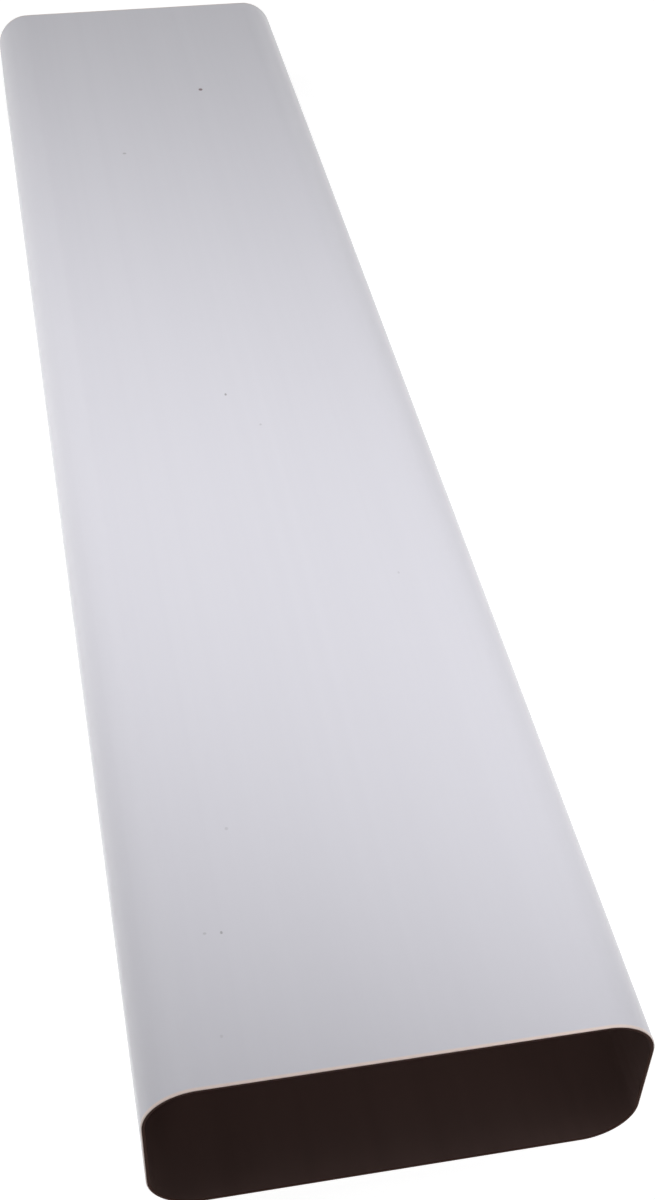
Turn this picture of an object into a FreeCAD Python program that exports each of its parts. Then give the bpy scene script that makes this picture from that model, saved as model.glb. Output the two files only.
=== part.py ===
"""Flat channel duct: one sawn length of extruded plastic ducting, open at both ends.

The section is a wide, low rectangle with large round corners and one even wall.
The duct lies on a broad face: the floor is Z = 0, the length runs along Y and the
width along X, with the origin under the middle of the length. Sizes are millimetres.
"""

import FreeCAD, Part
import math
import os

# The extruded section, measured over the outside of the wall.
DUCT_WIDTH = 220.0
DUCT_HEIGHT = 90.0
CORNER_RADIUS = 24.0
WALL = 1.8

# The length sawn from the extrusion.
DUCT_LENGTH = 1000.0

# The saw's sharp edges are broken all round both ends.
OUTER_EDGE_ROUND = 0.5
INNER_EDGE_ROUND = 0.3

# Neither round may take more than this share of the wall, so the sawn end stays flat between them.
EDGE_ROUND_SHARE_OF_WALL = 0.4

# Each corner of the section turns through this angle, in radians.
QUARTER_TURN = math.pi / 2

# Two places closer than this are the same place.
SAME_PLACE = 0.001


def corner_arc(centre_x, centre_z, radius, start_turn, y):
    """Start, middle and end of a quarter circle that runs anticlockwise in the plane at y."""
    points = []
    for turn in (start_turn, start_turn + QUARTER_TURN / 2, start_turn + QUARTER_TURN):
        x = centre_x + radius * math.cos(turn)
        z = centre_z + radius * math.sin(turn)
        points.append(FreeCAD.Vector(x, y, z))
    return points


def rounded_rectangle(inset, y):
    """Wire of the section's outline, set inwards from the outside of the wall, in the plane at y."""
    radius = CORNER_RADIUS - inset
    centre_x = DUCT_WIDTH / 2 - CORNER_RADIUS
    low_z = CORNER_RADIUS
    high_z = DUCT_HEIGHT - CORNER_RADIUS
    arcs = [
        corner_arc(centre_x, high_z, radius, 0.0, y),
        corner_arc(-centre_x, high_z, radius, QUARTER_TURN, y),
        corner_arc(-centre_x, low_z, radius, 2 * QUARTER_TURN, y),
        corner_arc(centre_x, low_z, radius, 3 * QUARTER_TURN, y),
    ]
    edges = []
    for arc, next_arc in zip(arcs, arcs[1:] + arcs[:1]):
        edges.append(Part.Arc(*arc).toShape())
        edges.append(Part.LineSegment(arc[-1], next_arc[0]).toShape())
    return Part.Wire(edges)


def prism(inset):
    """The section's outline, set inwards by inset, drawn along the whole length."""
    outline = rounded_rectangle(inset, -DUCT_LENGTH / 2)
    return Part.Face(outline).extrude(FreeCAD.Vector(0, DUCT_LENGTH, 0))


def end_edges(solid, inset):
    """Edges of both sawn ends that lie on the outline set inwards by inset, or inside it."""
    half_width = DUCT_WIDTH / 2 - inset + SAME_PLACE
    found = []
    for edge in solid.Edges:
        box = edge.BoundBox
        lies_in_end = box.YLength < SAME_PLACE and abs(abs(box.YMin) - DUCT_LENGTH / 2) < SAME_PLACE
        lies_within = max(-box.XMin, box.XMax) < half_width and box.ZMin > inset - SAME_PLACE
        lies_under_top = box.ZMax < DUCT_HEIGHT - inset + SAME_PLACE
        if lies_in_end and lies_within and lies_under_top:
            found.append(edge)
    return found


def channel_duct():
    """The whole duct: outside and bore from one outline, with the edges of both ends broken."""
    largest_round = WALL * EDGE_ROUND_SHARE_OF_WALL
    outside = prism(0.0)
    outside = outside.makeFillet(min(OUTER_EDGE_ROUND, largest_round), end_edges(outside, 0.0))
    tube = outside.cut(prism(WALL))
    return tube.makeFillet(min(INNER_EDGE_ROUND, largest_round), end_edges(tube, WALL))


os.makedirs("parts", exist_ok=True)
duct = channel_duct()
duct.exportStep("parts/channel_duct.step")
print("channel_duct: valid", duct.isValid(), "solids", len(duct.Solids), "volume", round(duct.Volume), "mm3")
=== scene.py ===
"""Looks of the flat channel duct: one sawn length of extruded plastic duct on a pale studio floor.

Metres, in the part's own frame: the length runs along Y, the width along X, and Z is up.
"""

import math

import bmesh
import bpy
from mathutils import Matrix, Vector


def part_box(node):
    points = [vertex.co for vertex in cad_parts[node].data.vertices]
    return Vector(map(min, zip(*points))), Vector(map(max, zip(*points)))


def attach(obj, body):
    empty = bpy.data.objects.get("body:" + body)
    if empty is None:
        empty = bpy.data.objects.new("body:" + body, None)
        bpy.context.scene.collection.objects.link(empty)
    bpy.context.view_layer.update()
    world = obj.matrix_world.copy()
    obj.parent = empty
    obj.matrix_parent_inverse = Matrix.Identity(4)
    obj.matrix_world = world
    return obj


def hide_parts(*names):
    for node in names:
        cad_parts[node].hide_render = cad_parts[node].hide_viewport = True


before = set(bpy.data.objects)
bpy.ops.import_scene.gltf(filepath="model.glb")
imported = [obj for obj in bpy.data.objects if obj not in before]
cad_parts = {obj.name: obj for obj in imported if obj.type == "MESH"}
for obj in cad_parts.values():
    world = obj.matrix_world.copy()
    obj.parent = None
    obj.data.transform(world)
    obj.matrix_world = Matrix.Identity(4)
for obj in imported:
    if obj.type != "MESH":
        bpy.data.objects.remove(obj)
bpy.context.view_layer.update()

# The duct's box, and the sizes of its section as the part's source has them.
LOW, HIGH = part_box("channel_duct")
SIZE = HIGH - LOW
MIDDLE = (LOW + HIGH) / 2
CORNER_RADIUS = 0.024
WALL = 0.0018
OUTER_EDGE_ROUND = 0.0005
INNER_EDGE_ROUND = 0.0003

# How finely the duct is divided, and the profile of a round that is part of a circle.
CORNER_SEGMENTS = 24
EDGE_ROUND_SEGMENTS = 4
RINGS_ALONG_LENGTH = 39
STRIPS_ACROSS_FLATS = 11
CIRCULAR = 0.5

# Two places, or two depths in the wall, that are closer than this are the same.
SAME_PLACE = 0.00002
SAME_DEPTH = 0.0002

# Two axes by their number. An edge or a normal runs along an axis if this share of it does.
ACROSS = 0
LENGTHWISE = 1
ALIGNED = 0.999

# The smoothed normals of a flat follow its large faces alone.
LARGE_FACES_ALONE = 100

# The duct's three finishes, in the order of its material slots.
WHITE_SKIN = 0
BROWN_BORE = 1
SAWN_END = 2

# Colours of the plastic.
WHITE = (0.735, 0.727, 0.788, 1.0)
WHITE_SHADED = (0.69, 0.682, 0.742, 1.0)
# The warm edge colour is a painted highlight on the rounded outer edges at the ends.
EDGE_HIGHLIGHT = (0.89, 0.74, 0.68, 1.0)
BROWN = (0.061, 0.036, 0.031, 1.0)
# BROWN_PALE serves both the bore's random tone and the painted light deep inside the bore.
BROWN_PALE = (0.220, 0.131, 0.115, 1.0)
# The sawn ends' browns are darker than the bore's: the wall's own brown with painted shade on the faces
# that look out of the ends.
SAWN_BROWN = (0.040, 0.017, 0.012, 1.0)
SAWN_PALE = (0.066, 0.030, 0.022, 1.0)
SPECK_GREY = (0.20, 0.19, 0.20, 1.0)
FLECK_RED = (0.10, 0.02, 0.03, 1.0)

# Patterns in the plastic: grains per metre along X, Y and Z, and how many finer layers they have.
# Their values lie round this middle.
PATTERN_MIDDLE = 0.5
SKIN_CLOUD = ((7.0, 4.0, 7.0), 2.0)
SKIN_STREAKS = ((150.0, 0.7, 150.0), 3.0)
SKIN_DIE_LINES = ((900.0, 1.2, 900.0), 2.0)
SKIN_GRAIN = ((2200.0, 1500.0, 2200.0), 1.0)
BORE_CLOUD = ((9.0, 5.0, 9.0), 2.0)
BORE_STREAKS = ((220.0, 1.0, 220.0), 3.0)
SAWN_KERF = ((1300.0, 40.0, 160.0), 3.0)
SAWN_CLOUD = ((60.0, 60.0, 60.0), 2.0)

# How strongly each pattern shows in the skin's colour, roughness and relief.
CLOUD_IN_SKIN_COLOUR = 0.5
STREAKS_IN_SKIN_COLOUR = 0.5
STREAKS_IN_SKIN_ROUGHNESS = 0.12
GRAIN_IN_SKIN_ROUGHNESS = 0.1
DIE_LINES_IN_SKIN_RELIEF = 0.5
STREAKS_IN_SKIN_RELIEF = 0.35
GRAIN_IN_SKIN_RELIEF = 0.15

# How strongly each pattern shows in the colour and roughness of the bore and the sawn ends.
CLOUD_IN_BORE_COLOUR = 0.16
STREAKS_IN_BORE_COLOUR = 0.1
STREAKS_IN_BORE_ROUGHNESS = 0.2
CLOUD_IN_SAWN_COLOUR = 0.5
KERF_IN_SAWN_ROUGHNESS = 0.2

# Gloss of the plastic: roughness, index of refraction, and the skin's thin smooth layer.
SKIN_ROUGHNESS = 0.46
SKIN_IOR = 1.52
SKIN_COAT = 0.45
SKIN_COAT_ROUGHNESS = 0.15
BORE_ROUGHNESS = 0.55
SAWN_ROUGHNESS = 0.75
SAWN_GLOSS = 0.15
BROWN_IOR = 1.45

# Depth of the fine lines in each surface.
SKIN_RELIEF = 0.00003
BORE_RELIEF = 0.00008
SAWN_RELIEF = 0.00006

# Shares of the second colour in each finish where its patterns are at their middle.
SKIN_SHADE = 0.3
BORE_SHADE = 0.1
SAWN_SHADE = 0.35

# Painted light: the bore's brown goes on growing paler this far in from each end, by this share, offsetting
# the shade that falls deeper in the bore.
BORE_PAINTED_LIGHT_REACH = 0.10
BORE_DEEP_PAINTED_LIGHT = 0.8

# A painted highlight: the white skin turns warm and brighter towards each end, from the first of these
# distances to the second.
HIGHLIGHT_FROM = 3.6 * OUTER_EDGE_ROUND
HIGHLIGHT_FULL = 1.2 * OUTER_EDGE_ROUND

# Marks on the white skin's upper face: place along X and Y, half-sizes along X and Y, and strength.
SPECKS = [
    (-0.0333, 0.2651, 0.0016, 0.0015, 0.42),
    (-0.0052, -0.0330, 0.0008, 0.0014, 0.70),
    (-0.0542, -0.3662, 0.0010, 0.0012, 0.20),
    (-0.0722, -0.4234, 0.0010, 0.0008, 0.28),
    (-0.0650, -0.4241, 0.0007, 0.0010, 0.54),
    (-0.0726, -0.4765, 0.0008, 0.0010, 0.16),
    (0.0105, -0.0654, 0.0009, 0.0011, 0.26),
    (0.0617, -0.2057, 0.0007, 0.0011, 0.20),
]
FLECK = (0.0332, 0.3541, 0.0018, 0.0023, 0.88)

# A mark is at full strength up to this share of its area.
MARK_CORE = 0.3

# The camera, solved from the photograph's outline. Pixels are those of the 655 x 1200 photograph.
PHOTO_HEIGHT = 1200
CAMERA_PLACE = (-0.11824, -0.87347, 0.69092)
CAMERA_AZIMUTH = 12.168
CAMERA_DIP = 45.740
CAMERA_ROLL = 1.925
FOCAL_LENGTH_PIXELS = 1722.7
OPTICAL_CENTRE_ROW = 712.2
SENSOR = 36.0
NEAREST_SEEN = 0.01

# The studio's room light, backdrop and floor. The floor's second grey is the one that is looked at.
AMBIENT = 0.12
BACKDROP_GREY = 1.0
FLOOR_SIZE = 30.0
FLOOR_DROP = 0.0004
FLOOR_GREY = 0.75
FLOOR_SEEN_GREY = 0.4

# The glow that makes the floor white to look at. Far off, nothing but the room light falls on it.
# Beside the duct, the lamps do the rest, so their shadow shows there.
FAR_GLOW = 1.0 - FLOOR_SEEN_GREY * AMBIENT
BESIDE_GLOW = 0.86
BESIDE_REACH = 0.05
FAR_REACH = 0.38

# Soft boxes: name, place, the point each is turned to, side, spread in degrees and power in watts.
SOFT_BOXES = [
    ("left_box", (-0.64, -0.29, 0.91), (-0.20, -0.02, 0.09), 0.59, 81.0, 1.62),
    ("right_box", (0.37, -0.34, 0.49), (0.24, 0.21, 0.09), 0.70, 152.0, 2.02),
    ("front_box", (-0.40, -2.35, 1.45), (0.0, -0.45, 0.09), 0.80, 180.0, 7.0),
    ("back_box", (0.40, 2.10, 1.80), (0.0, 0.45, 0.09), 0.80, 180.0, 3.0),
    ("left_fill", (-1.20, 0.35, 0.22), (-0.11, 0.35, 0.06), 0.40, 100.0, 0.42),
    ("right_fill", (1.20, 0.38, 0.22), (0.11, 0.38, 0.06), 0.40, 100.0, 0.40),
]


class Wire:
    """One output socket. Operators on it add Math nodes and give the wire that comes out of them."""

    def __init__(self, bench, socket):
        self.bench = bench
        self.socket = socket

    def math(self, operation, first, second):
        return self.bench.node("ShaderNodeMath", {"operation": operation}, {0: first, 1: second})

    def __add__(self, other):
        return self.math("ADD", self, other)

    def __radd__(self, other):
        return self.math("ADD", other, self)

    def __sub__(self, other):
        return self.math("SUBTRACT", self, other)

    def __rsub__(self, other):
        return self.math("SUBTRACT", other, self)

    def __mul__(self, other):
        return self.math("MULTIPLY", self, other)

    def __rmul__(self, other):
        return self.math("MULTIPLY", other, self)

    def __gt__(self, other):
        return self.math("GREATER_THAN", self, other)

    def __lt__(self, other):
        return self.math("LESS_THAN", self, other)

    def __abs__(self):
        return self.math("ABSOLUTE", self, 0.0)

    def larger(self, other):
        return self.math("MAXIMUM", self, other)

    def ramp(self, low, high):
        """0 up to low, 1 from high on, and smooth between."""
        sockets = {"Value": self, "From Min": low, "From Max": high}
        return self.bench.node("ShaderNodeMapRange", {"interpolation_type": "SMOOTHSTEP"}, sockets)


class Bench:
    """A node tree that a finish is put together on."""

    def __init__(self, tree):
        self.tree = tree
        self.tree.nodes.clear()

    def node(self, kind, settings, sockets, output=0):
        """Adds a node with its settings, gives its sockets values or wires, and gives one output's wire."""
        made = self.tree.nodes.new(kind)
        for name, value in settings.items():
            setattr(made, name, value)
        for name, value in sockets.items():
            if isinstance(value, Wire):
                self.tree.links.new(value.socket, made.inputs[name])
            else:
                made.inputs[name].default_value = value
        return Wire(self, made.outputs[output]) if made.outputs else None

    def blend(self, share, first, second):
        """The first colour where share is 0, the second where it is 1."""
        return self.node("ShaderNodeMix", {"data_type": "RGBA"}, {0: share, 6: first, 7: second}, output=2)

    def place(self):
        """Where a point of the surface lies, in the duct's frame."""
        return self.node("ShaderNodeTexCoord", {}, {}, output="Object")

    def along(self, axis, place):
        """How far a place lies along X, Y or Z."""
        return self.node("ShaderNodeSeparateXYZ", {}, {"Vector": place}, output=axis)

    def pattern(self, place, stretch, detail):
        """A cloudy value round 0 whose grains per metre along X, Y and Z are given by stretch."""
        stretched = self.node("ShaderNodeMapping", {}, {"Vector": place, "Scale": stretch})
        sockets = {"Vector": stretched, "Scale": 1.0, "Detail": detail}
        return self.node("ShaderNodeTexNoise", {}, sockets) - PATTERN_MIDDLE

    def bump(self, height, depth):
        """A normal that follows height, where a step of 1 stands for depth in metres."""
        return self.node("ShaderNodeBump", {}, {"Strength": 1.0, "Distance": depth, "Height": height})

    def plastic(self, sockets):
        """The plastic's shader, wired to the material's output."""
        shader = self.node("ShaderNodeBsdfPrincipled", {}, sockets)
        self.node("ShaderNodeOutputMaterial", {}, {"Surface": shader})


def new_material(name):
    """A material by that name, and the bench for its nodes."""
    material = bpy.data.materials.new(name)
    material.use_nodes = True
    return material, Bench(material.node_tree)


def grey(level):
    """A grey from 0, black, to 1, white."""
    return (level, level, level, 1.0)


def spot(x, y, mark):
    """The share of a mark at a point: its strength inside, falling to 0 at its rim."""
    mark_x, mark_y, half_x, half_y, strength = mark
    across = (x - mark_x) * (1 / half_x)
    along = (y - mark_y) * (1 / half_y)
    return (1 - (across * across + along * along).ramp(MARK_CORE, 1.0)) * strength


def white_skin():
    """Satin white plastic with faint lengthwise die lines, a few marks, and a painted warm highlight along
    the edges at the ends.
    """
    material, bench = new_material("white_skin")
    place = bench.place()
    x = bench.along("X", place)
    y = bench.along("Y", place)
    cloud = bench.pattern(place, *SKIN_CLOUD)
    streaks = bench.pattern(place, *SKIN_STREAKS)
    die_lines = bench.pattern(place, *SKIN_DIE_LINES)
    grain = bench.pattern(place, *SKIN_GRAIN)
    shade = cloud * CLOUD_IN_SKIN_COLOUR + streaks * STREAKS_IN_SKIN_COLOUR + SKIN_SHADE
    colour = bench.blend(shade, WHITE, WHITE_SHADED)
    on_top = bench.along("Z", place) > HIGH.z - CORNER_RADIUS
    specks = 0.0
    for mark in SPECKS:
        specks = spot(x, y, mark) + specks
    colour = bench.blend(specks * on_top, colour, SPECK_GREY)
    colour = bench.blend(spot(x, y, FLECK) * on_top, colour, FLECK_RED)
    # Painted highlight: the skin turns warm and brighter at the rounded edges of each end.
    edge_highlight = abs(y).ramp(HIGH.y - HIGHLIGHT_FROM, HIGH.y - HIGHLIGHT_FULL)
    unevenness = streaks * STREAKS_IN_SKIN_ROUGHNESS + grain * GRAIN_IN_SKIN_ROUGHNESS
    relief = die_lines * DIE_LINES_IN_SKIN_RELIEF + streaks * STREAKS_IN_SKIN_RELIEF
    bench.plastic({
        "Base Color": bench.blend(edge_highlight, colour, EDGE_HIGHLIGHT),
        "Roughness": unevenness + SKIN_ROUGHNESS,
        "IOR": SKIN_IOR,
        "Coat Weight": SKIN_COAT,
        "Coat Roughness": SKIN_COAT_ROUGHNESS,
        "Normal": bench.bump(relief + grain * GRAIN_IN_SKIN_RELIEF, SKIN_RELIEF),
    })
    return material


def brown_bore():
    """Dark brown plastic of the bore, matt, with the die's lengthwise lines; darker towards its ends and
    paler deep inside, painted light that offsets the shade falling there.
    """
    material, bench = new_material("brown_bore")
    place = bench.place()
    cloud = bench.pattern(place, *BORE_CLOUD)
    streaks = bench.pattern(place, *BORE_STREAKS)
    end = abs(bench.along("Y", place)).ramp(HIGH.y - BORE_PAINTED_LIGHT_REACH, HIGH.y)
    shade = cloud * CLOUD_IN_BORE_COLOUR + streaks * STREAKS_IN_BORE_COLOUR
    # Painted light: the brown turns paler deep inside the bore, against the shade there.
    shade = shade + (1 - end) * BORE_DEEP_PAINTED_LIGHT + BORE_SHADE
    bench.plastic({
        "Base Color": bench.blend(shade, BROWN, BROWN_PALE),
        "Roughness": streaks * STREAKS_IN_BORE_ROUGHNESS + BORE_ROUGHNESS,
        "IOR": BROWN_IOR,
        "Normal": bench.bump(streaks, BORE_RELIEF),
    })
    return material


def sawn_end():
    """The wall's sawn end: brown darkened by painted shade, rough and without gloss, crossed by the saw's
    fine lines.
    """
    material, bench = new_material("sawn_end")
    place = bench.place()
    kerf = bench.pattern(place, *SAWN_KERF)
    cloud = bench.pattern(place, *SAWN_CLOUD)
    shade = kerf + cloud * CLOUD_IN_SAWN_COLOUR + SAWN_SHADE
    bench.plastic({
        "Base Color": bench.blend(shade, SAWN_BROWN, SAWN_PALE),
        "Roughness": kerf * KERF_IN_SAWN_ROUGHNESS + SAWN_ROUGHNESS,
        "IOR": BROWN_IOR,
        "Specular IOR Level": SAWN_GLOSS,
        "Normal": bench.bump(kerf, SAWN_RELIEF),
    })
    return material


def select(piece, kind, wanted):
    """Selects the piece's edges or faces that are wanted, and nothing else. The piece is in edit mode."""
    bpy.ops.mesh.select_mode(type=kind)
    bpy.ops.mesh.select_all(action="DESELECT")
    mesh = bmesh.from_edit_mesh(piece.data)
    for part in (mesh.edges if kind == "EDGE" else mesh.faces):
        if wanted(part):
            part.select_set(True)
    mesh.select_flush_mode()
    bmesh.update_edit_mesh(piece.data)


def faces_an_end(face):
    """Whether a face looks along the length."""
    return abs(face.normal[LENGTHWISE]) > ALIGNED


def runs_along(axis):
    """A test for the edges that run along one axis."""
    def wanted(edge):
        step = edge.verts[1].co - edge.verts[0].co
        return abs(step[axis]) > ALIGNED * step.length
    return wanted


def is_broad(axis, reach):
    """A test for the edges along one axis that are longer than reach."""
    along_axis = runs_along(axis)
    def wanted(edge):
        return along_axis(edge) and edge.calc_length() > reach
    return wanted


def section_depth(point):
    """How far a point lies inside the outside of the section."""
    core_x = SIZE.x / 2 - CORNER_RADIUS
    core_z = SIZE.z / 2 - CORNER_RADIUS
    past_x = abs(point.x - MIDDLE.x) - core_x
    past_z = abs(point.z - MIDDLE.z) - core_z
    outwards = math.hypot(max(past_x, 0.0), max(past_z, 0.0)) + min(max(past_x, past_z), 0.0)
    return CORNER_RADIUS - outwards


def end_edges(depth):
    """A test for the edges of both sawn ends that lie at one depth in the wall."""
    def wanted(edge):
        for corner in edge.verts:
            if abs(abs(corner.co.y - MIDDLE.y) - SIZE.y / 2) > SAME_PLACE:
                return False
            if abs(section_depth(corner.co) - depth) > SAME_DEPTH:
                return False
        return True
    return wanted


def break_edges(duct, depth, size, finish):
    """Rounds the edges of both sawn ends that lie at one depth in the wall. The duct is in edit mode."""
    select(duct, "EDGE", end_edges(depth))
    bpy.ops.mesh.bevel(
        offset=size, segments=EDGE_ROUND_SEGMENTS, profile=CIRCULAR, affect="EDGES", material=finish
    )


def model_duct():
    """The duct, from a block: opened at both ends, its corners rounded, walled inwards, its ends broken."""
    bpy.ops.object.select_all(action="DESELECT")
    bpy.ops.mesh.primitive_cube_add(size=1.0, location=MIDDLE, scale=SIZE)
    duct = bpy.context.active_object
    duct.name = "duct_shell"
    bpy.ops.object.transform_apply(location=True, rotation=True, scale=True)
    for finish in (white_skin(), brown_bore(), sawn_end()):
        duct.data.materials.append(finish)

    bpy.ops.object.mode_set(mode="EDIT")
    select(duct, "FACE", faces_an_end)
    bpy.ops.mesh.delete(type="ONLY_FACE")
    select(duct, "EDGE", runs_along(LENGTHWISE))
    bpy.ops.mesh.bevel(offset=CORNER_RADIUS, segments=CORNER_SEGMENTS, profile=CIRCULAR, affect="EDGES")
    select(duct, "EDGE", is_broad(ACROSS, CORNER_RADIUS))
    bpy.ops.mesh.subdivide(number_cuts=STRIPS_ACROSS_FLATS)
    select(duct, "EDGE", runs_along(LENGTHWISE))
    bpy.ops.mesh.subdivide(number_cuts=RINGS_ALONG_LENGTH)
    bpy.ops.mesh.select_all(action="SELECT")
    bpy.ops.mesh.normals_make_consistent(inside=False)
    bpy.ops.object.mode_set(mode="OBJECT")

    wall = duct.modifiers.new("wall", "SOLIDIFY")
    wall.thickness = WALL
    wall.offset = -1.0
    wall.use_even_offset = True
    wall.material_offset = BROWN_BORE
    wall.material_offset_rim = SAWN_END
    bpy.ops.object.modifier_apply(modifier="wall")

    bpy.ops.object.mode_set(mode="EDIT")
    break_edges(duct, 0.0, OUTER_EDGE_ROUND, WHITE_SKIN)
    break_edges(duct, WALL, INNER_EDGE_ROUND, SAWN_END)
    bpy.ops.mesh.select_all(action="DESELECT")
    bpy.ops.object.mode_set(mode="OBJECT")

    bpy.ops.object.shade_smooth()
    flats = duct.modifiers.new("flats", "WEIGHTED_NORMAL")
    flats.weight = LARGE_FACES_ALONE
    bpy.ops.object.modifier_apply(modifier="flats")
    return duct


def seen(bench):
    """1 for camera rays and for what gloss and glass show, 0 for the light that falls on the duct."""
    camera = bench.node("ShaderNodeLightPath", {}, {}, output="Is Camera Ray")
    glossy = bench.node("ShaderNodeLightPath", {}, {}, output="Is Glossy Ray")
    through = bench.node("ShaderNodeLightPath", {}, {}, output="Is Transmission Ray")
    return camera.larger(glossy).larger(through)


def lay_floor():
    """A pale floor that is white to look at and keeps the duct's soft shadow."""
    bpy.ops.object.select_all(action="DESELECT")
    bpy.ops.mesh.primitive_plane_add(size=FLOOR_SIZE, location=(0.0, 0.0, LOW.z - FLOOR_DROP))
    floor = bpy.context.active_object
    floor.name = "studio_floor"
    material, bench = new_material("studio_floor")
    place = bench.place()
    beside = abs(bench.along("X", place)) - HIGH.x
    beyond = abs(bench.along("Y", place)) - HIGH.y
    far = beside.larger(beyond).ramp(BESIDE_REACH, FAR_REACH)
    glow_tone = bench.blend(far, grey(BESIDE_GLOW), grey(FAR_GLOW))
    glow = bench.node("ShaderNodeEmission", {}, {"Color": glow_tone, "Strength": 1.0})
    pale = bench.node("ShaderNodeBsdfDiffuse", {}, {"Color": grey(FLOOR_GREY)})
    seen_pale = bench.node("ShaderNodeBsdfDiffuse", {}, {"Color": grey(FLOOR_SEEN_GREY)})
    white = bench.node("ShaderNodeAddShader", {}, {0: seen_pale, 1: glow})
    surface = bench.node("ShaderNodeMixShader", {}, {0: seen(bench), 1: pale, 2: white})
    bench.node("ShaderNodeOutputMaterial", {}, {"Surface": surface})
    floor.data.materials.append(material)


def light_world():
    """An even room light, with a white backdrop for the camera and for reflections."""
    world = bpy.data.worlds.new("studio")
    world.use_nodes = True
    bench = Bench(world.node_tree)
    strength = seen(bench) * (1.0 - AMBIENT) + AMBIENT
    sockets = {"Color": grey(BACKDROP_GREY), "Strength": strength}
    backdrop = bench.node("ShaderNodeBackground", {}, sockets)
    bench.node("ShaderNodeOutputWorld", {}, {"Surface": backdrop})
    bpy.context.scene.world = world


def hang_soft_box(name, place, aim, side, spread, power):
    """A square soft box at place, turned to aim, whose light is held to a cone of spread degrees.

    Neither the camera nor the gloss shows it: the plastic mirrors the white backdrop alone.
    """
    bpy.ops.object.light_add(type="AREA", location=place)
    lamp = bpy.context.active_object
    lamp.name = name
    lamp.rotation_euler = (Vector(aim) - Vector(place)).to_track_quat("-Z", "Y").to_euler()
    lamp.data.size = side
    lamp.data.spread = math.radians(spread)
    lamp.data.energy = power
    lamp.visible_camera = False
    lamp.visible_glossy = False


def set_camera():
    """The camera where the photograph was taken from."""
    bpy.ops.object.camera_add(location=CAMERA_PLACE)
    camera = bpy.context.active_object
    turn = Matrix.Rotation(math.radians(-CAMERA_AZIMUTH), 3, "Z")
    tilt = Matrix.Rotation(math.radians(90.0 - CAMERA_DIP), 3, "X")
    roll = Matrix.Rotation(math.radians(CAMERA_ROLL), 3, "Z")
    camera.rotation_euler = (turn @ tilt @ roll).to_euler()
    camera.data.sensor_width = SENSOR
    camera.data.lens = FOCAL_LENGTH_PIXELS / PHOTO_HEIGHT * SENSOR
    camera.data.shift_y = OPTICAL_CENTRE_ROW / PHOTO_HEIGHT - 0.5
    camera.data.clip_start = NEAREST_SEEN
    bpy.context.scene.camera = camera


duct = model_duct()
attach(duct, "root")
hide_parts("channel_duct")

lay_floor()
light_world()
for soft_box in SOFT_BOXES:
    hang_soft_box(*soft_box)
set_camera()
bpy.context.scene.view_settings.view_transform = "Standard"
